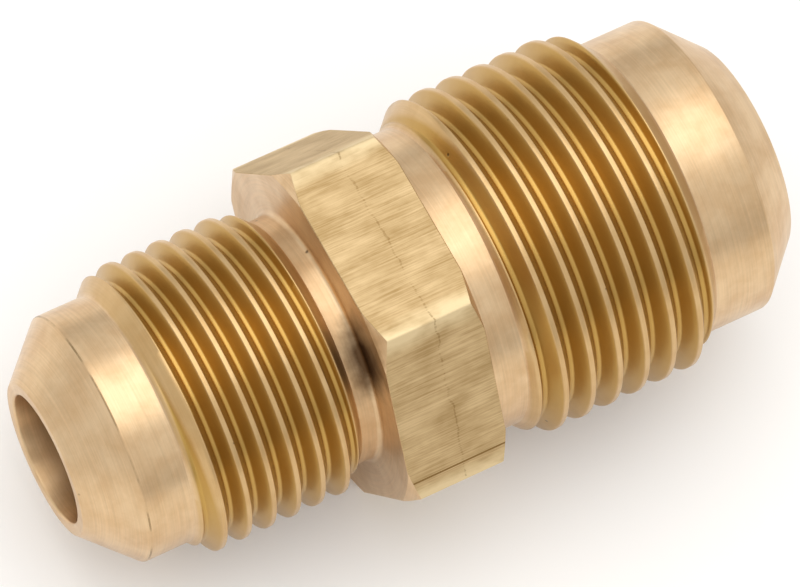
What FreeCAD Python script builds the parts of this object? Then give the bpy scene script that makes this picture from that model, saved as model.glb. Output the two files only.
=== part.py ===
"""Flare reducing union: a 3/8 inch and a 1/2 inch male flare end on one brass hexagon.

The union is turned from hexagon bar, so it is one piece of metal.  It lies along X with the small
end towards -X and one flat of the hexagon underneath.  The origin is on the axis, at the middle of
the hexagon.  Millimetres and degrees, +Z up.
"""
import FreeCAD, Part

import os
import re

import Sketcher

os.makedirs("parts", exist_ok=True)
doc = FreeCAD.newDocument("flare_union")

# ------------------------------------------------------------------ driving dimensions
SIZES = {
    # the hexagon that is left of the bar
    "hex_step": 0.75,             # flats above the thicker neck
    "hex_width": 5.7,             # along the axis
    "hex_face_excess": 0.55,      # the faces are this much wider than the flats, in radius
    "hex_chamfer_angle": 30.0,    # from the face of the hexagon
    # the small end: 3/8 inch tube
    "small_thread": 15.875,       # 5/8-18 UNF, nominal diameter
    "small_pitch": 25.4 / 18,
    "small_crest_at": -8.48,      # a crest crosses the top of the thread here
    "small_shank": 15.8,          # hexagon to nose
    "small_land_end": 5.1,        # nose to the end of the plain land
    "small_land_clearance": 0.22,  # land below the root of the thread
    "small_neck_run": 1.15,       # hexagon to the thread's chamfer
    "small_neck_clearance": 0.22,  # neck below the root of the thread
    "small_neck_fillet": 0.3,
    "small_bore": 7.14,
    "small_nose_lip": 0.68,       # ring between the bore and the seat cone
    # the large end: 1/2 inch tube
    "large_thread": 19.05,        # 3/4-16 UNF, nominal diameter
    "large_pitch": 25.4 / 16,
    "large_crest_at": 10.95,
    "large_shank": 19.1,
    "large_land_end": 5.85,
    "large_land_clearance": 0.3,
    "large_neck_run": 2.05,
    "large_neck_clearance": 0.2,
    "large_neck_fillet": 0.25,
    "large_bore": 10.3,
    "large_nose_lip": 0.7,
    "large_bore_depth": 20.5,     # nose to the end of the full diameter
    # both ends
    "crest_allowance": 0.055,     # crests below the nominal radius
    "flank_angle": 30.0,          # half of the 60 degree thread form
    "run_in_angle": 45.0,         # chamfers at the two ends of each thread
    "seat_angle": 45.0,           # seat cone to the axis
    "drill_angle": 59.0,          # half of the 118 degree drill point
    "cutter_clearance": 0.1,      # how far a cutter's outline stands outside the metal
}
sheet = doc.addObject("Spreadsheet::Sheet", "Sizes")
for row, (word, size) in enumerate(SIZES.items(), start=1):
    sheet.set(f"A{row}", word)
    sheet.set(f"B{row}", repr(size))
    sheet.setAlias(f"B{row}", word)
doc.recompute()


SAME_PLACE = 1e-5

# ------------------------------------------------------------------ radii and places, as expressions
def crest_radius(end):
    return f"({end}_thread / 2 - crest_allowance)"


def root_radius(end):
    """The unified form cuts 17/24 of its sharp V below the nominal radius."""
    return f"({end}_thread / 2 - 17 / 24 * {end}_pitch / 2 / tan(flank_angle * 1deg))"


def land_radius(end):
    return f"({root_radius(end)} - {end}_land_clearance)"


def neck_radius(end):
    return f"({root_radius(end)} - {end}_neck_clearance)"


def nose_radius(end):
    return f"({end}_bore / 2 + {end}_nose_lip)"


def nose_at(end):
    return f"({HALF_WIDTH} + {end}_shank)"


HALF_WIDTH = "(hex_width / 2)"
FLAT_RADIUS = f"(max({neck_radius('small')}; {neck_radius('large')}) + hex_step)"
CORNER_RADIUS = f"({FLAT_RADIUS} * 2 / sqrt(3))"
FACE_RADIUS = f"({FLAT_RADIUS} + hex_face_excess)"


# ------------------------------------------------------------------ sketches and features
def bound(text):
    """Write each word of SIZES in an expression as the cell of the sheet that holds it."""
    return re.sub(r"[a-z_]+", lambda word: f"Sizes.{word[0]}" if word[0] in SIZES else word[0], text)


def origin_feature(role):
    """The body's own plane or axis of that role."""
    return next(item for item in body.Origin.OriginFeatures if item.Role == role)


def outline(name, role, loops):
    """A sketch of closed loops of straight lines, every corner bound to the sheet."""
    sketch = body.newObject("Sketcher::SketchObject", name)
    sketch.AttachmentSupport = [(origin_feature(role), "")]
    sketch.MapMode = "FlatFace"
    for corners in loops:
        first = sketch.GeometryCount
        count = len(corners)
        for index in range(count):
            start = FreeCAD.Vector(index, index ** 2, 0)
            end = FreeCAD.Vector(index + 1, (index + 1) ** 2, 0)
            sketch.addGeometry(Part.LineSegment(start, end))
        for index, (along, across) in enumerate(corners):
            line = first + index
            previous = first + (index - 1) % count
            sketch.addConstraint(Sketcher.Constraint("Coincident", previous, 2, line, 1))
            for kind, place in (("DistanceX", along), ("DistanceY", across)):
                number = sketch.addConstraint(Sketcher.Constraint(kind, -1, 1, line, 1, 1.0))
                sketch.setExpression(f"Constraints[{number}]", bound(place))
    doc.recompute()
    return sketch


def turned(name, kind, sketch):
    """A full turn of the sketch about the axis of the union, added or cut away."""
    feature = body.newObject(kind, name)
    feature.Profile = sketch
    feature.ReferenceAxis = (origin_feature("X_Axis"), [""])
    feature.Angle = 360.0
    doc.recompute()
    return feature


body = doc.addObject("PartDesign::Body", "union_body")
body.Label = "union_body"

# ------------------------------------------------------------------ hexagon bar, faced and chamfered
hexagon = outline("hexagon_outline", "YZ_Plane", [[
    (CORNER_RADIUS, "0"),
    (f"{CORNER_RADIUS} / 2", FLAT_RADIUS),
    (f"-{CORNER_RADIUS} / 2", FLAT_RADIUS),
    (f"-{CORNER_RADIUS}", "0"),
    (f"-{CORNER_RADIUS} / 2", f"-{FLAT_RADIUS}"),
    (f"{CORNER_RADIUS} / 2", f"-{FLAT_RADIUS}"),
]])
bar = body.newObject("PartDesign::Pad", "hexagon_bar")
bar.Profile = hexagon
bar.Midplane = True
bar.setExpression("Length", bound("hex_width"))
doc.recompute()

OUTSIDE_CORNER = f"({CORNER_RADIUS} + cutter_clearance)"
OUTSIDE_FACE = f"({HALF_WIDTH} + cutter_clearance)"
CHAMFER_RUN = f"(({OUTSIDE_CORNER} - {FACE_RADIUS}) * tan(hex_chamfer_angle * 1deg))"
chamfers = outline("chamfer_outline", "XZ_Plane", [
    [
        (f"{side} * {HALF_WIDTH}", FACE_RADIUS),
        (f"{side} * {OUTSIDE_FACE}", FACE_RADIUS),
        (f"{side} * {OUTSIDE_FACE}", OUTSIDE_CORNER),
        (f"{side} * ({HALF_WIDTH} - {CHAMFER_RUN})", OUTSIDE_CORNER),
    ]
    for side in (-1, 1)
])
turned("hexagon_chamfers", "PartDesign::Groove", chamfers)


# ------------------------------------------------------------------ the two turned shanks
def shank(end, side):
    """The corners of one shank, from the hexagon out to the nose."""
    seat_run = f"(({land_radius(end)} - {nose_radius(end)}) / tan(seat_angle * 1deg))"
    neck_rise = f"(({crest_radius(end)} - {neck_radius(end)}) / tan(run_in_angle * 1deg))"
    land_rise = f"(({crest_radius(end)} - {land_radius(end)}) / tan(run_in_angle * 1deg))"
    neck_end = f"({HALF_WIDTH} + {end}_neck_run)"
    land_from = f"({nose_at(end)} - {end}_land_end)"
    corners = [
        (HALF_WIDTH, "0"),
        (HALF_WIDTH, neck_radius(end)),
        (neck_end, neck_radius(end)),
        (f"({neck_end} + {neck_rise})", crest_radius(end)),
        (f"({land_from} - {land_rise})", crest_radius(end)),
        (land_from, land_radius(end)),
        (f"({nose_at(end)} - {seat_run})", land_radius(end)),
        (nose_at(end), nose_radius(end)),
        (nose_at(end), "0"),
    ]
    return [(f"{side} * {along}", across) for along, across in corners]


blank = outline("blank_outline", "XZ_Plane", [shank("small", -1), shank("large", 1)])
shanks = turned("turned_shanks", "PartDesign::Revolution", blank)


def neck_round(base, end, side):
    """Round the inner corner where a neck meets its face of the hexagon."""
    face_at = side * sheet.get("hex_width") / 2
    circles = [
        (edge.Curve.Radius, f"Edge{number}")
        for number, edge in enumerate(base.Shape.Edges, start=1)
        if isinstance(edge.Curve, Part.Circle) and abs(edge.Curve.Center.x - face_at) < SAME_PLACE
    ]
    smallest = min(circles)[0]
    feature = body.newObject("PartDesign::Fillet", f"{end}_neck_round")
    feature.Base = (base, [name for radius, name in circles if radius < smallest + SAME_PLACE])
    room = f"({FACE_RADIUS} - {neck_radius(end)}) * 0.9"
    feature.setExpression("Radius", bound(f"min({end}_neck_fillet; {room})"))
    doc.recompute()
    return feature


rounded = neck_round(shanks, "small", -1)
rounded = neck_round(rounded, "large", 1)

# ------------------------------------------------------------------ the passage through both ends
SMALL_MOUTH = f"-({nose_at('small')} + cutter_clearance)"
LARGE_MOUTH = f"({nose_at('large')} + cutter_clearance)"
STEP_AT = f"({nose_at('large')} - large_bore_depth)"
POINT_RUN = "((large_bore - small_bore) / 2 / tan(drill_angle * 1deg))"
passage = outline("passage_outline", "XZ_Plane", [[
    (SMALL_MOUTH, "0"),
    (SMALL_MOUTH, "small_bore / 2"),
    (f"{STEP_AT} - {POINT_RUN}", "small_bore / 2"),
    (STEP_AT, "large_bore / 2"),
    (LARGE_MOUTH, "large_bore / 2"),
    (LARGE_MOUTH, "0"),
]])
turned("passage", "PartDesign::Groove", passage)


# ------------------------------------------------------------------ the threads
def thread(end, side):
    """One right-hand groove.

    It starts over the plain land, which is clear of it, and runs to half a pitch from the hexagon.
    """
    pitch = f"{end}_pitch"
    land_from = f"({nose_at(end)} - {end}_land_end)"
    pitches_out = f"ceil(({land_from} - {side} * {end}_crest_at) / {pitch})"
    groove_at = f"({end}_crest_at + {side} * ({pitches_out} + 0.5) * {pitch})"
    top = f"({end}_thread / 2 + cutter_clearance)"
    half_root = f"({pitch} / 12)"
    half_top = f"({half_root} + ({top} - {root_radius(end)}) * tan(flank_angle * 1deg))"
    form = outline(f"{end}_thread_form", "XZ_Plane", [[
        (f"{groove_at} - {half_root}", root_radius(end)),
        (f"{groove_at} + {half_root}", root_radius(end)),
        (f"{groove_at} + {half_top}", top),
        (f"{groove_at} - {half_top}", top),
    ]])
    feature = body.newObject("PartDesign::SubtractiveHelix", f"{end}_thread")
    feature.Profile = form
    feature.ReferenceAxis = (origin_feature("X_Axis"), [""])
    feature.Mode = "pitch-height-angle"
    feature.LeftHanded = False
    feature.Reversed = side > 0
    feature.setExpression("Pitch", bound(pitch))
    feature.setExpression("Height", bound(f"{side} * {groove_at} - {HALF_WIDTH} - {pitch} / 2"))
    doc.recompute()


thread("small", -1)
thread("large", 1)

# ------------------------------------------------------------------ check and write
for item in doc.Objects:
    if "Invalid" in item.State or "Error" in item.State:
        raise RuntimeError(f"{item.Name} did not recompute: {item.State}")
if body.Shape.isNull() or not body.Shape.isValid() or len(body.Shape.Solids) != 1:
    raise RuntimeError(f"{body.Label} is not one valid solid")
body.Shape.exportStep(f"parts/{body.Label}.step")
print(f"{body.Label}: {body.Shape.Volume:.1f} mm3, {body.Shape.Area:.1f} mm2")
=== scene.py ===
"""Flare reducing union in brass, 3/8 inch to 1/2 inch, lying on a pale floor.

The union lies along X with its small end towards -X and one flat of the hexagon down.
Blender's own units are metres; the turned sizes are written in millimetres, as on a lathe drawing.
"""

import math

import bpy
import numpy as np
from mathutils import Euler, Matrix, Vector


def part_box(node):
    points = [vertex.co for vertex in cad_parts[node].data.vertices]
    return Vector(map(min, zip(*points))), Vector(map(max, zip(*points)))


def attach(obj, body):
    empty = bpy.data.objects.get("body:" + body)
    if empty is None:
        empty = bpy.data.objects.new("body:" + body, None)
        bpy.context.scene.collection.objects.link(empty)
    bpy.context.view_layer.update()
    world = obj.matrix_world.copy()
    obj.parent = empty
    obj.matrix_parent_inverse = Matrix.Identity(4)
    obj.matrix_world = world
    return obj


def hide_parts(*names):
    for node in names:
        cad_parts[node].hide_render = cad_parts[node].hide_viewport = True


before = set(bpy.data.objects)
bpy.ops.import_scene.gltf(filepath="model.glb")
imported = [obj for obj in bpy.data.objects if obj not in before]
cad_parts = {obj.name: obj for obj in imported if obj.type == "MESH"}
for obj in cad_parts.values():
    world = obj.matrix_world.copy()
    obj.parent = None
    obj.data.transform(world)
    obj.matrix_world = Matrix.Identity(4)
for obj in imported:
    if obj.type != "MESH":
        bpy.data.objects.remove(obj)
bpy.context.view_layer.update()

# ------------------------------------------------------------------ camera
# A long lens high above the union, looking down from its small end's side, with the camera
# turned a little about its own line of sight.
MM = 0.001
SENSOR_WIDTH_MM = 36.0
LENS_MM = 303.3
CAMERA_AZIMUTH = math.radians(37.65)
CAMERA_ELEVATION = math.radians(64.37)
CAMERA_ROLL = math.radians(10.49)
CAMERA_DISTANCE = 348.3 * MM
AIM = Vector((1.92, 0.06, 0.59)) * MM

camera_data = bpy.data.cameras.new("camera")
camera_data.sensor_width = SENSOR_WIDTH_MM
camera_data.lens = LENS_MM
camera_data.clip_start = 0.01
camera = bpy.data.objects.new("camera", camera_data)
towards_camera = Vector((
    -math.sin(CAMERA_AZIMUTH) * math.cos(CAMERA_ELEVATION),
    -math.cos(CAMERA_AZIMUTH) * math.cos(CAMERA_ELEVATION),
    math.sin(CAMERA_ELEVATION),
))
level = towards_camera.to_track_quat("Z", "Y")
camera.location = AIM + CAMERA_DISTANCE * towards_camera
camera.rotation_euler = (level @ Euler((0, 0, CAMERA_ROLL)).to_quaternion()).to_euler()
bpy.context.scene.collection.objects.link(camera)
bpy.context.scene.camera = camera

# ------------------------------------------------------------------ union body
# One piece of free-cutting brass, turned from drawn hexagon bar. The seats, lands, necks and
# threads are cut on the lathe, the flats keep the skin of the bar, and the passage is drilled.
body_low, body_high = (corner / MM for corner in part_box("union_body"))
SMALL_NOSE_AT = body_low.x
LARGE_NOSE_AT = body_high.x
SMALL_NOSE_RADIUS = 4.25
LARGE_NOSE_RADIUS = 5.85
SMALL_BORE_RADIUS = 3.57
LARGE_BORE_RADIUS = 5.15
LARGE_NECK_RADIUS = 8.351
STEP_FROM, STEP_TO = 0.50, 1.45       # the drill's cone between the two bores
SMALL_LAND_RADIUS = 6.852
SMALL_SEAT_END = SMALL_NOSE_AT + SMALL_LAND_RADIUS - SMALL_NOSE_RADIUS
LARGE_LAND_RADIUS = 8.251
LARGE_SEAT_END = LARGE_NOSE_AT - (LARGE_LAND_RADIUS - LARGE_NOSE_RADIUS)
HEX_HALF_WIDTH = 2.85
FLAT_RADIUS = body_high.y * math.cos(math.radians(30))
HEX_FACE_RADIUS = FLAT_RADIUS + 0.55  # the faces are chamfered only at the corners
HEX_CHAMFER_SLOPE = math.tan(math.radians(30))
SMALL_FACE_JOIN = HEX_FACE_RADIUS - 0.85   # where the necks' rows and the hexagon's meet
LARGE_FACE_JOIN = LARGE_NECK_RADIUS + 0.3
ROLLED_FROM = 4.1                     # the flats fall away a little from here to their corners
ROLLED_TILT = math.radians(2.5)
HEX_CORNER_ROUND = 0.18
BROKEN_EDGE = 0.04                    # between the flats and the faces
EDGE = 0.05                           # the broken edge that the lathe tool leaves
CREST_ALLOWANCE = 0.055               # crests below the nominal radius
ARC_STEPS = 3


def rounded(corners):
    """Points on a line through corners (x, radius, rounding), with each corner made an arc."""
    points = [corners[0][:2]]
    for (x0, r0, _), (x1, r1, size), (x2, r2, _) in zip(corners, corners[1:], corners[2:]):
        corner = np.array((x1, r1))
        before = np.array((x0, r0)) - corner
        after = np.array((x2, r2)) - corner
        before /= np.linalg.norm(before)
        after /= np.linalg.norm(after)
        half = math.acos(before @ after) / 2
        across = (before + after) / np.linalg.norm(before + after)
        centre = corner + across * size / math.sin(half)
        start = corner + before * size / math.tan(half) - centre
        end = corner + after * size / math.tan(half) - centre
        turn = math.pi - 2 * half
        for step in range(ARC_STEPS + 1):
            share = step / ARC_STEPS
            spoke = (math.sin((1 - share) * turn) * start + math.sin(share * turn) * end)
            points.append(tuple(centre + spoke / math.sin(turn)))
    points.append(corners[-1][:2])
    return points


def divided(points, longest):
    """The same points, with every longer stretch between two of them divided evenly."""
    result = [points[0]]
    for (x0, r0), (x1, r1) in zip(points, points[1:]):
        count = math.ceil(math.hypot(x1 - x0, r1 - r0) / longest)
        for step in range(1, count + 1):
            share = step / count
            result.append((x0 + share * (x1 - x0), r0 + share * (r1 - r0)))
    return result


class Thread:
    """A right-hand unified thread cut over a blank with a chamfer at each end."""

    def __init__(self, name, nominal, per_inch, crest_at, land, neck):
        self.name = name
        self.pitch = 25.4 / per_inch
        self.crest_at = crest_at
        self.land_at, self.land_radius = land
        self.neck_at, self.neck_radius = neck
        self.inward = 1 if self.land_at < self.neck_at else -1
        self.crest = crest = nominal / 2 - CREST_ALLOWANCE
        root = nominal / 2 - 17 / 24 * self.pitch / 2 / math.tan(math.radians(30))
        half_pitch = self.pitch / 2
        half_crest = self.pitch * 5 / 12 - (crest - root) * math.tan(math.radians(30))
        form = rounded([
            (-half_pitch, root, 0),
            (-self.pitch * 5 / 12, root, 0.12),
            (-half_crest, crest, EDGE),
            (half_crest, crest, EDGE),
            (self.pitch * 5 / 12, root, 0.12),
            (half_pitch, root, 0),
        ])
        self.form = np.array(divided(form, 0.35))

    def blank(self, x):
        """Radius of the blank's two chamfers, before the thread was cut."""
        from_land = self.land_radius + self.inward * (x - self.land_at)
        from_neck = self.neck_radius + self.inward * (self.neck_at - x)
        return np.minimum(from_land, from_neck)

    def cut(self, x, turned):
        """Radius of the thread's form, endless along the axis, after part of a turn."""
        offset = (x - self.crest_at) / self.pitch - turned
        offset = (offset - np.round(offset)) * self.pitch
        return np.interp(offset, self.form[:, 0], self.form[:, 1])

    def surface(self, x, turned):
        """The lower of blank and form, with the edge between them broken."""
        blank, cut = self.blank(x), self.cut(x, turned)
        closeness = np.maximum(EDGE - np.abs(blank - cut), 0) / EDGE
        return np.minimum(blank, cut) - closeness ** 2 * EDGE / 4

    def depth(self, x, radius):
        """How far a point of the surface lies below the blank."""
        return min(self.blank(x), self.crest) - radius

    def edges(self, turned):
        """Places where the form breaks through a chamfer, as (label, x)."""
        low, high = sorted((self.land_at, self.neck_at))
        x = np.linspace(low, high, 1600)
        proud = self.cut(x, turned) - self.blank(x)
        found = []
        for i in np.nonzero(np.sign(proud[:-1]) != np.sign(proud[1:]))[0]:
            at = x[i] + (x[i + 1] - x[i]) * proud[i] / (proud[i] - proud[i + 1])
            low_side = at < (low + high) / 2
            falls = proud[i] > 0
            lean = 0.0 if falls != low_side else (-0.25 if low_side else 0.25)
            turn = round((at - self.crest_at) / self.pitch - turned + lean)
            found.append(((self.name, turn, "edge", low_side, falls), at))
        return found

    def rows(self, turned):
        """Sorted (label, x, radius) along the axis after part of a turn.

        A label names the same helical line from column to column, right round the turn.
        """
        low, high = sorted((self.land_at, self.neck_at))
        edges = self.edges(turned)
        edges = [
            (label, at) for label, at in edges
            if all(other == at or abs(other - at) > 4 * EDGE for _, other in edges)
            and low + 2 * EDGE < at < high - 2 * EDGE
        ]
        found = []
        for label, at in edges:
            name, turn, *rest = label
            for step in (-0.5, 0.5):
                found.append(((name, turn, *rest, step), at + step * EDGE))
        first_turn = math.floor((low - self.crest_at) / self.pitch) - 2
        final_turn = math.ceil((high - self.crest_at) / self.pitch) + 2
        for turn in range(first_turn, final_turn):
            for index, offset in enumerate(self.form[:-1, 0]):
                x = self.crest_at + (turn + turned) * self.pitch + offset
                clear = all(abs(x - at) > 0.5 * EDGE + 0.03 for _, at in edges)
                if clear and low + 2 * EDGE < x < high - 2 * EDGE:
                    found.append(((self.name, turn, index), x))
        found.sort(key=lambda row: row[1])
        return [(label, x, float(self.surface(x, turned))) for label, x in found]


small_thread = Thread(
    "small_thread", nominal=15.875, per_inch=18, crest_at=-8.48,
    land=(-13.55, SMALL_LAND_RADIUS), neck=(-4.00, SMALL_LAND_RADIUS))
large_thread = Thread(
    "large_thread", nominal=19.05, per_inch=16, crest_at=10.95,
    land=(16.10, LARGE_LAND_RADIUS), neck=(4.90, LARGE_NECK_RADIUS))


def hexagon_radius(angle):
    """Radius of the bar at an angle from its upper flat, with rolled edges and round corners."""
    from_corner = abs(angle % math.radians(60) - math.radians(30))
    from_middle = math.radians(30) - from_corner
    rolled = FLAT_RADIUS * math.cos(ROLLED_TILT) + ROLLED_FROM * math.sin(ROLLED_TILT)
    half = math.radians(30) - ROLLED_TILT
    centre = (rolled - HEX_CORNER_ROUND) / math.cos(half)
    reach = math.atan2(HEX_CORNER_ROUND * math.sin(half),
                       centre + HEX_CORNER_ROUND * math.cos(half))
    if from_corner < reach:
        away = centre * math.sin(from_corner)
        return centre * math.cos(from_corner) + math.sqrt(HEX_CORNER_ROUND ** 2 - away ** 2)
    return min(FLAT_RADIUS / math.cos(from_middle), rolled / math.cos(from_middle - ROLLED_TILT))


def section(name, corners, longest):
    """Labelled (label, x, radius) rows through corners, divided where they lie far apart."""
    return [((name, i), x, r) for i, (x, r) in enumerate(divided(rounded(corners), longest))]


def column(angle, whole_turns=0):
    """Every row of the union's surface at one angle, out over the outside and back inside."""
    turned = angle / (2 * math.pi) + whole_turns
    radius = hexagon_radius(angle)
    small_end = section("small_end", [
        (STEP_FROM - 1, SMALL_BORE_RADIUS, 0),
        (SMALL_NOSE_AT, SMALL_BORE_RADIUS, 0.13),
        (SMALL_NOSE_AT, SMALL_NOSE_RADIUS, 0.10),
        (SMALL_SEAT_END, SMALL_LAND_RADIUS, 0.15),
        (small_thread.land_at, SMALL_LAND_RADIUS, 0.08),
        (small_thread.land_at + EDGE, SMALL_LAND_RADIUS + EDGE, 0),
    ], 1.6)
    small_neck = section("small_neck", [
        (small_thread.neck_at - EDGE, SMALL_LAND_RADIUS + EDGE, 0),
        (small_thread.neck_at, SMALL_LAND_RADIUS, 0.06),
        (-HEX_HALF_WIDTH, SMALL_LAND_RADIUS, 0.3),
        (-HEX_HALF_WIDTH, SMALL_FACE_JOIN, 0),
    ], 20.0)
    # Below the chamfer's circle the flat meets the face directly, and its chamfer is only a
    # broken edge; the same rows serve both.
    face_to = min(HEX_FACE_RADIUS, radius - BROKEN_EDGE)
    chamfer = HEX_HALF_WIDTH - max((radius - HEX_FACE_RADIUS) * HEX_CHAMFER_SLOPE, BROKEN_EDGE)
    hexagon = section("hexagon", [
        (-HEX_HALF_WIDTH, SMALL_FACE_JOIN, 0),
        (-HEX_HALF_WIDTH, face_to, 0.03),
        (-chamfer, radius, 0.03),
        (chamfer, radius, 0.03),
        (HEX_HALF_WIDTH, face_to, 0.03),
        (HEX_HALF_WIDTH, LARGE_FACE_JOIN, 0),
    ], 20.0)
    large_neck = section("large_neck", [
        (HEX_HALF_WIDTH, LARGE_FACE_JOIN, 0),
        (HEX_HALF_WIDTH, LARGE_NECK_RADIUS, 0.25),
        (large_thread.neck_at, LARGE_NECK_RADIUS, 0.06),
        (large_thread.neck_at + EDGE, LARGE_NECK_RADIUS + EDGE, 0),
    ], 20.0)
    large_end = section("large_end", [
        (large_thread.land_at - EDGE, LARGE_LAND_RADIUS + EDGE, 0),
        (large_thread.land_at, LARGE_LAND_RADIUS, 0.08),
        (LARGE_SEAT_END, LARGE_LAND_RADIUS, 0.15),
        (LARGE_NOSE_AT, LARGE_NOSE_RADIUS, 0.10),
        (LARGE_NOSE_AT, LARGE_BORE_RADIUS, 0.13),
        (STEP_TO, LARGE_BORE_RADIUS, 0.10),
        (STEP_FROM, SMALL_BORE_RADIUS, 0.10),
        (STEP_FROM - 1, SMALL_BORE_RADIUS, 0),
    ], 3.0)
    return (small_end + small_thread.rows(turned) + small_neck[:-1] + hexagon + large_neck[1:]
            + large_thread.rows(turned) + large_end[:-1])


half_sextant = [0, 0.20, 0.42, 0.75] + list(np.linspace(0.75, 30, 17)[1:-1])
angles = {0.0}
for corner in range(30, 360, 60):
    for from_corner in half_sextant:
        angles |= {corner - from_corner, corner + from_corner}
angles |= {60.0 * k for k in range(1, 6)}
angles = [math.radians(angle) for angle in sorted(angles)]

threads = {"small_thread": small_thread, "large_thread": large_thread}
DULL_CREST = 0.08                     # the crests take this much of the grooves' colour too
vertices, strips, drawn, near_corner, groove = [], [], [], [], []
for angle in angles:
    rows = column(angle)
    first = len(vertices)
    bar = hexagon_radius(angle)
    from_corner = bar * math.sin(abs(angle % math.radians(60) - math.radians(30)))
    for label, x, radius in rows:
        vertices.append((x * MM, -radius * math.sin(angle) * MM, radius * math.cos(angle) * MM))
        drawn.append(label[0] == "hexagon" and radius > bar - 0.035 and abs(x) < HEX_HALF_WIDTH)
        near_corner.append(max(0.0, 1.0 - from_corner / 1.2) if drawn[-1] else 0.0)
        thread = threads.get(label[0])
        groove.append(thread.depth(x, radius) + DULL_CREST if thread else 0.0)
    strips.append([(label, first + i) for i, (label, _, _) in enumerate(rows)])
strips.append([(label, strips[0][i][1]) for i, (label, _, _) in enumerate(column(0.0, 1))])

# Join each column to the next: a quad where both carry a row, and a triangle where a helical
# row starts or ends.
faces = []
for left, right in zip(strips, strips[1:]):
    left_labels = {label for label, _ in left}
    right_labels = {label for label, _ in right}
    left = left + left[:1]
    right = right + right[:1]
    i = k = 0
    while i < len(left) - 1:
        if left[i + 1][0] not in right_labels:
            faces.append((left[i][1], right[k][1], left[i + 1][1]))
            i += 1
        elif right[k + 1][0] not in left_labels:
            faces.append((left[i][1], right[k][1], right[k + 1][1]))
            k += 1
        else:
            faces.append((left[i][1], right[k][1], right[k + 1][1], left[i + 1][1]))
            i += 1
            k += 1

union_mesh = bpy.data.meshes.new("union")
union_mesh.from_pydata(vertices, [], faces)
union_mesh.shade_smooth()
for name, values in (("near_corner", near_corner), ("groove", groove)):
    union_mesh.attributes.new(name, "FLOAT", "POINT").data.foreach_set("value", values)
for face in union_mesh.polygons:
    face.material_index = int(all(drawn[v] for v in face.vertices))
union = bpy.data.objects.new("union", union_mesh)
bpy.context.scene.collection.objects.link(union)
crisp = union.modifiers.new("crisp_edges", "WEIGHTED_NORMAL")
crisp.weight = 100


def linear(colour):
    """Linear red, green, blue and alpha from an sRGB hex colour."""
    channels = [int(colour[i:i + 2], 16) / 255 for i in (1, 3, 5)]
    return [c / 12.92 if c <= 0.04045 else ((c + 0.055) / 1.055) ** 2.4 for c in channels] + [1.0]


def add_node(tree, kind, links=(), **settings):
    """A node with its settings; links are (input, socket or value) pairs."""
    node = tree.nodes.new(kind)
    for name, value in settings.items():
        setattr(node, name, value)
    for name, source in links:
        if isinstance(source, bpy.types.NodeSocket):
            tree.links.new(source, node.inputs[name])
        else:
            node.inputs[name].default_value = source
    return node


def new_finish(name):
    """An empty material, as (material, tree, place in mm, its three parts, radius)."""
    material = bpy.data.materials.new(name)
    material.use_nodes = True
    tree = material.node_tree
    tree.nodes.clear()
    where = add_node(tree, "ShaderNodeTexCoord")
    place = add_node(tree, "ShaderNodeVectorMath", [
        (0, where.outputs["Object"]), (1, (1000, 1000, 1000))], operation="MULTIPLY")
    split = add_node(tree, "ShaderNodeSeparateXYZ", [(0, place.outputs[0])])
    across = add_node(tree, "ShaderNodeCombineXYZ", [
        ("Y", split.outputs["Y"]), ("Z", split.outputs["Z"])])
    radius = add_node(tree, "ShaderNodeVectorMath", [(0, across.outputs[0])], operation="LENGTH")
    return material, tree, place.outputs[0], split.outputs, radius.outputs["Value"]


# Turned brass: cut with a pointed tool, so it carries fine rings that spread its gloss along
# the axis. The feed is about 0.1 mm a turn, and the rings are drawn half as coarse again so
# that they show. A few pores in the bar, some 2.5 mm apart, show as dark pits.
RINGS_PER_MM = 7.0
PORES_PER_MM = 0.42
brass, tree, place, axes, radius = new_finish("turned_brass")
along = add_node(tree, "ShaderNodeMath", [(0, axes["X"]), (1, radius)], operation="ADD")
ring_place = add_node(tree, "ShaderNodeCombineXYZ", [("X", along.outputs[0]), ("Y", axes["X"])])
ring_scale = add_node(tree, "ShaderNodeVectorMath", [
    (0, ring_place.outputs[0]), (1, (RINGS_PER_MM, RINGS_PER_MM, 0.0))], operation="MULTIPLY")
drift = add_node(tree, "ShaderNodeVectorMath", [(0, place), (1, (0.0, 0.25, 0.25))],
                 operation="MULTIPLY")
ring_at = add_node(tree, "ShaderNodeVectorMath", [
    (0, ring_scale.outputs[0]), (1, drift.outputs[0])], operation="ADD")
rings = add_node(tree, "ShaderNodeTexNoise", [
    ("Vector", ring_at.outputs[0]), ("Scale", 1.0), ("Detail", 3.0), ("Roughness", 0.6)])
cloud = add_node(tree, "ShaderNodeTexNoise", [
    ("Vector", place), ("Scale", 0.55), ("Detail", 4.0), ("Roughness", 0.6)])
pore_cells = add_node(tree, "ShaderNodeTexVoronoi", [("Vector", place), ("Scale", PORES_PER_MM)])
pore = add_node(tree, "ShaderNodeMapRange", [
    ("Value", pore_cells.outputs["Distance"]), ("From Min", 0.02), ("From Max", 0.05),
    ("To Min", 0.8), ("To Max", 0.0)])
colour = add_node(tree, "ShaderNodeValToRGB", [("Fac", cloud.outputs["Fac"])])
colour.color_ramp.elements[0].position = 0.35
colour.color_ramp.elements[0].color = linear("#d0ae84")
colour.color_ramp.elements[1].position = 0.65
colour.color_ramp.elements[1].color = linear("#dcbe96")
ring_tint = add_node(tree, "ShaderNodeMapRange", [
    ("Value", rings.outputs["Fac"]), ("From Min", 0.3), ("From Max", 0.7),
    ("To Min", 0.90), ("To Max", 1.04)])
tinted = add_node(tree, "ShaderNodeVectorMath", [
    (0, colour.outputs["Color"]), ("Scale", ring_tint.outputs[0])], operation="SCALE")
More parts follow.
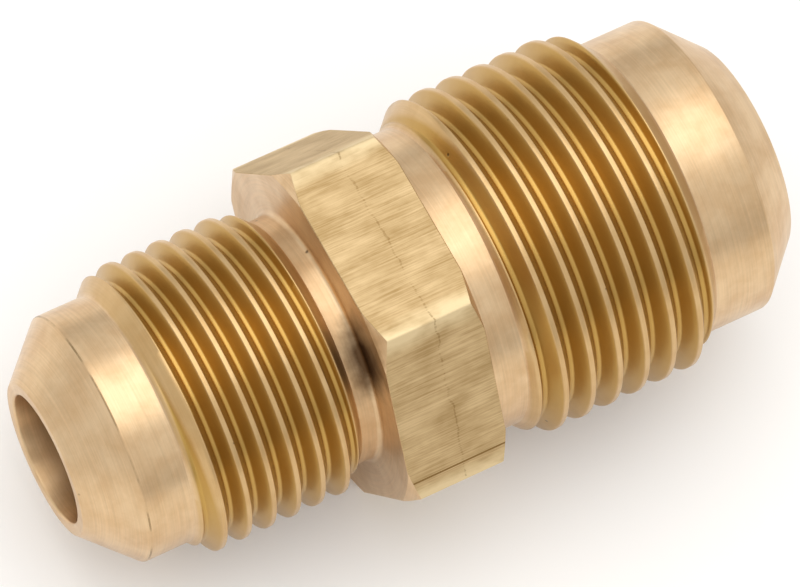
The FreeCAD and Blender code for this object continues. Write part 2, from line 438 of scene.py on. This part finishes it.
# Down in the threads the brass has turned golden under dried cutting oil.
depth = add_node(tree, "ShaderNodeAttribute", attribute_name="groove")
oiled = add_node(tree, "ShaderNodeMapRange", [
    ("Value", depth.outputs["Fac"]), ("From Min", 0.0), ("From Max", 0.18),
    ("To Max", 0.95)])
golden = add_node(tree, "ShaderNodeMix", [
    ("Factor", oiled.outputs[0]), (6, tinted.outputs[0]), (7, linear("#bc964f"))],
    data_type="RGBA")
# Painted shade on the thread flanks that face the large end: darker brown the more they face +X and the
# deeper they lie.
geometry = add_node(tree, "ShaderNodeNewGeometry")
facing = add_node(tree, "ShaderNodeSeparateXYZ", [(0, geometry.outputs["Normal"])])
large_end_side = add_node(tree, "ShaderNodeMapRange", [
    ("Value", facing.outputs["X"]), ("From Min", 0.3), ("From Max", 0.75), ("To Max", 0.25)])
flank_shade = add_node(tree, "ShaderNodeMath", [
    (0, large_end_side.outputs[0]), (1, oiled.outputs[0])], operation="MULTIPLY")
flank_shaded = add_node(tree, "ShaderNodeMix", [
    ("Factor", flank_shade.outputs[0]), (6, golden.outputs[2]), (7, linear("#6e4a22"))],
    data_type="RGBA")
# A broken line of grime where the small seat meets its land.
CREASE_HALF_WIDTH = 0.045
crease = add_node(tree, "ShaderNodeMath", [(0, axes["X"]), (1, SMALL_SEAT_END), (2, CREASE_HALF_WIDTH)],
                  operation="COMPARE")
patchy = add_node(tree, "ShaderNodeMapRange", [
    ("Value", cloud.outputs["Fac"]), ("From Min", 0.42), ("From Max", 0.60), ("To Max", 0.6)])
crease_grime = add_node(tree, "ShaderNodeMath", [
    (0, crease.outputs[0]), (1, patchy.outputs[0])], operation="MULTIPLY")
creased = add_node(tree, "ShaderNodeMix", [
    ("Factor", crease_grime.outputs[0]), (6, flank_shaded.outputs[2]), (7, linear("#6a5028"))],
    data_type="RGBA")
# Painted shade: a ragged dark brown patch in the corner between the small neck and the hexagon.
CORNER_SHADE_AT = (-2.9, -4.2, 5.7)
from_corner_shade = add_node(tree, "ShaderNodeVectorMath", [
    (0, place), (1, CORNER_SHADE_AT)], operation="SUBTRACT")
corner_shade_shape = add_node(tree, "ShaderNodeVectorMath", [
    (0, from_corner_shade.outputs[0]), (1, (1.4, 0.55, 0.55))], operation="MULTIPLY")
corner_shade_reach = add_node(tree, "ShaderNodeVectorMath", [(0, corner_shade_shape.outputs[0])],
                       operation="LENGTH")
corner_shade_ragged = add_node(tree, "ShaderNodeMath", [
    (0, cloud.outputs["Fac"]), (1, 1.2), (2, corner_shade_reach.outputs["Value"])],
    operation="MULTIPLY_ADD")
corner_shade = add_node(tree, "ShaderNodeMapRange", [
    ("Value", corner_shade_ragged.outputs[0]), ("From Min", 1.1), ("From Max", 2.1),
    ("To Min", 0.92), ("To Max", 0.0)])
corner_shaded = add_node(tree, "ShaderNodeMix", [
    ("Factor", corner_shade.outputs[0]), (6, creased.outputs[2]), (7, linear("#4a2f18"))],
    data_type="RGBA")
pitted = add_node(tree, "ShaderNodeMix", [
    ("Factor", pore.outputs[0]), (6, corner_shaded.outputs[2]), (7, linear("#4a3a24"))],
    data_type="RGBA")
gloss = add_node(tree, "ShaderNodeMapRange", [
    ("Value", cloud.outputs["Fac"]), ("From Min", 0.3), ("From Max", 0.7),
    ("To Min", 0.38), ("To Max", 0.32)])
ring_bump = add_node(tree, "ShaderNodeBump", [
    ("Height", rings.outputs["Fac"]), ("Strength", 1.0), ("Distance", 4e-6)])
pit_bump = add_node(tree, "ShaderNodeBump", [
    ("Height", pore.outputs[0]), ("Strength", 1.0), ("Distance", 2e-5),
    ("Normal", ring_bump.outputs[0])], invert=True)
grain = add_node(tree, "ShaderNodeTangent", direction_type="RADIAL", axis="X")
shader = add_node(tree, "ShaderNodeBsdfPrincipled", [
    ("Base Color", pitted.outputs[2]), ("Metallic", 1.0), ("Roughness", gloss.outputs[0]),
    ("Anisotropic", 0.6), ("Anisotropic Rotation", 0.25), ("Tangent", grain.outputs[0]),
    ("Normal", pit_bump.outputs[0])])
add_node(tree, "ShaderNodeOutputMaterial", [("Surface", shader.outputs["BSDF"])])
union_mesh.materials.append(brass)

# Drawn brass: the skin of the bar as it left the die, dull, with long streaks along the axis
# 0.1 to 0.3 mm apart, and lighter near the corners: rubbed there, with a painted highlight for their
# gloss.
STREAKS_PER_MM = 11.0
skin, tree, place, axes, _ = new_finish("drawn_brass")
streak_at = add_node(tree, "ShaderNodeVectorMath", [
    (0, place), (1, (0.35, STREAKS_PER_MM, STREAKS_PER_MM))], operation="MULTIPLY")
streaks = add_node(tree, "ShaderNodeTexNoise", [
    ("Vector", streak_at.outputs[0]), ("Scale", 1.0), ("Detail", 5.0), ("Roughness", 0.65)])
patch_at = add_node(tree, "ShaderNodeVectorMath", [(0, place), (1, (0.45, 0.8, 0.8))],
                    operation="MULTIPLY")
patches = add_node(tree, "ShaderNodeTexNoise", [
    ("Vector", patch_at.outputs[0]), ("Scale", 1.0), ("Detail", 3.0), ("Roughness", 0.55)])
mixed = add_node(tree, "ShaderNodeMix", [
    (0, 0.45), (2, streaks.outputs["Fac"]), (3, patches.outputs["Fac"])], data_type="FLOAT")
colour = add_node(tree, "ShaderNodeValToRGB", [("Fac", mixed.outputs[0])])
colour.color_ramp.elements[0].position = 0.36
colour.color_ramp.elements[0].color = linear("#a5885a")
colour.color_ramp.elements[1].position = 0.62
colour.color_ramp.elements[1].color = linear("#cfb488")
# Lighter in patches near the corners: rubbed wear, with a painted highlight for its gloss.
corner_wear_and_sheen = add_node(tree, "ShaderNodeAttribute", attribute_name="near_corner")
wear_and_sheen_patches = add_node(tree, "ShaderNodeMath", [
    (0, corner_wear_and_sheen.outputs["Fac"]), (1, patches.outputs["Fac"])], operation="MULTIPLY")
wear_and_sheen = add_node(tree, "ShaderNodeMapRange", [
    ("Value", wear_and_sheen_patches.outputs[0]), ("From Min", 0.12), ("From Max", 0.42)])
bright = add_node(tree, "ShaderNodeMix", [
    ("Factor", wear_and_sheen.outputs[0]), (6, colour.outputs["Color"]), (7, linear("#dcc69c"))],
    data_type="RGBA")
# A scribed line round the middle of the hexagon, broken, and one score along the lower corner.
SCRIBE_HALF_WIDTH = 0.05
SCORE_HEIGHT = 1.05                   # above the axis, on the side of the lower corner
wander = add_node(tree, "ShaderNodeMath", [
    (0, patches.outputs["Fac"]), (1, 0.8), (2, axes["X"])], operation="MULTIPLY_ADD")
scribed = add_node(tree, "ShaderNodeMath", [(0, wander.outputs[0]), (1, 0.62), (2, SCRIBE_HALF_WIDTH)],
                   operation="COMPARE")
broken = add_node(tree, "ShaderNodeMapRange", [
    ("Value", mixed.outputs[0]), ("From Min", 0.52), ("From Max", 0.44), ("To Max", 0.5)])
scribe = add_node(tree, "ShaderNodeMath", [(0, scribed.outputs[0]), (1, broken.outputs[0])],
                  operation="MULTIPLY")
scored = add_node(tree, "ShaderNodeMath", [(0, axes["Z"]), (1, SCORE_HEIGHT), (2, SCRIBE_HALF_WIDTH)],
                  operation="COMPARE")
near_side = add_node(tree, "ShaderNodeMath", [(0, axes["Y"]), (1, -8.0)],
                     operation="LESS_THAN")
score = add_node(tree, "ShaderNodeMath", [(0, scored.outputs[0]), (1, near_side.outputs[0])],
                 operation="MULTIPLY")
scratches = add_node(tree, "ShaderNodeMath", [(0, scribe.outputs[0]), (1, score.outputs[0])],
                     operation="MAXIMUM")
marked = add_node(tree, "ShaderNodeMix", [
    ("Factor", scratches.outputs[0]), (6, bright.outputs[2]), (7, linear("#86683c"))],
    data_type="RGBA")
streak_bump = add_node(tree, "ShaderNodeBump", [
    ("Height", mixed.outputs[0]), ("Strength", 1.0), ("Distance", 2e-5)])
grain = add_node(tree, "ShaderNodeTangent", direction_type="RADIAL", axis="X")
shader = add_node(tree, "ShaderNodeBsdfPrincipled", [
    ("Base Color", marked.outputs[2]), ("Metallic", 1.0), ("Roughness", 0.5),
    ("Anisotropic", 0.4), ("Tangent", grain.outputs[0]), ("Normal", streak_bump.outputs[0])])
add_node(tree, "ShaderNodeOutputMaterial", [("Surface", shader.outputs["BSDF"])])
union_mesh.materials.append(skin)
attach(union, "root")
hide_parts("union_body")

# ------------------------------------------------------------------ floor
# A pale board. The union rests on an edge of the hexagon and on the large thread's first crest,
# so the board slopes a little against the axis.
FIRST_CREST_AT = 6.02
FLOOR_REACH = 2.0
rest_slope = math.atan2(large_thread.crest - FLAT_RADIUS, FIRST_CREST_AT + HEX_HALF_WIDTH)
floor_mesh = bpy.data.meshes.new("floor")
floor_mesh.from_pydata([
    (-FLOOR_REACH, -FLOOR_REACH, 0), (FLOOR_REACH, -FLOOR_REACH, 0),
    (FLOOR_REACH, FLOOR_REACH, 0), (-FLOOR_REACH, FLOOR_REACH, 0)], [], [(0, 1, 2, 3)])
floor = bpy.data.objects.new("floor", floor_mesh)
bpy.context.scene.collection.objects.link(floor)
floor.location = (-HEX_HALF_WIDTH * MM, 0, -FLAT_RADIUS * MM)
floor.rotation_euler = (0, rest_slope, 0)

# Matt white board, very slightly warm. A faint glow in view and in the brass keeps it white.
BOARD_GLOW = 0.09
board = bpy.data.materials.new("white_board")
board.use_nodes = True
tree = board.node_tree
tree.nodes.clear()
light_path = add_node(tree, "ShaderNodeLightPath")
mirrored = add_node(tree, "ShaderNodeMath", [
    (0, light_path.outputs["Is Glossy Ray"]), (1, light_path.outputs["Is Transmission Ray"])])
seen = add_node(tree, "ShaderNodeMath", [
    (0, light_path.outputs["Is Camera Ray"]), (1, mirrored.outputs[0])])
lift = add_node(tree, "ShaderNodeMath", [
    (0, seen.outputs[0]), (1, BOARD_GLOW)], operation="MULTIPLY")
matt = add_node(tree, "ShaderNodeBsdfDiffuse", [("Color", linear("#eeece9"))])
glow = add_node(tree, "ShaderNodeEmission", [("Strength", lift.outputs[0])])
both = add_node(tree, "ShaderNodeAddShader", [(0, matt.outputs[0]), (1, glow.outputs[0])])
add_node(tree, "ShaderNodeOutputMaterial", [("Surface", both.outputs[0])])
floor_mesh.materials.append(board)

# ------------------------------------------------------------------ light
# A large soft lamp almost straight overhead, in a pale room that is a little darker low down.
KEY_RADIANCE = 1.2
KEY_SIZE = (0.60, 0.56)
KEY_DISTANCE = 0.55
KEY_LEAN = math.radians(6)            # away from the camera
key_data = bpy.data.lights.new("overhead_softbox", "AREA")
key_data.shape = "RECTANGLE"
key_data.size, key_data.size_y = KEY_SIZE
key_data.energy = KEY_RADIANCE * math.pi * KEY_SIZE[0] * KEY_SIZE[1]
key = bpy.data.objects.new("overhead_softbox", key_data)
bpy.context.scene.collection.objects.link(key)
key_direction = Vector((
    math.sin(CAMERA_AZIMUTH) * math.sin(KEY_LEAN), math.cos(CAMERA_AZIMUTH) * math.sin(KEY_LEAN),
    math.cos(KEY_LEAN)))
key.location = KEY_DISTANCE * key_direction
key.rotation_euler = key_direction.to_track_quat("Z", "Y").to_euler()

room = bpy.data.worlds.new("pale_room")
room.use_nodes = True
tree = room.node_tree
tree.nodes.clear()
outward = add_node(tree, "ShaderNodeTexCoord")
height = add_node(tree, "ShaderNodeSeparateXYZ", [(0, outward.outputs["Generated"])])
level = add_node(tree, "ShaderNodeMapRange", [
    ("Value", height.outputs["Z"]), ("From Max", 0.5), ("To Min", 0.62), ("To Max", 1.0)])
backdrop = add_node(tree, "ShaderNodeBackground", [
    ("Color", linear("#ffffff")), ("Strength", level.outputs[0])])
add_node(tree, "ShaderNodeOutputWorld", [("Surface", backdrop.outputs[0])])
bpy.context.scene.world = room
bpy.context.scene.view_settings.view_transform = "Standard"
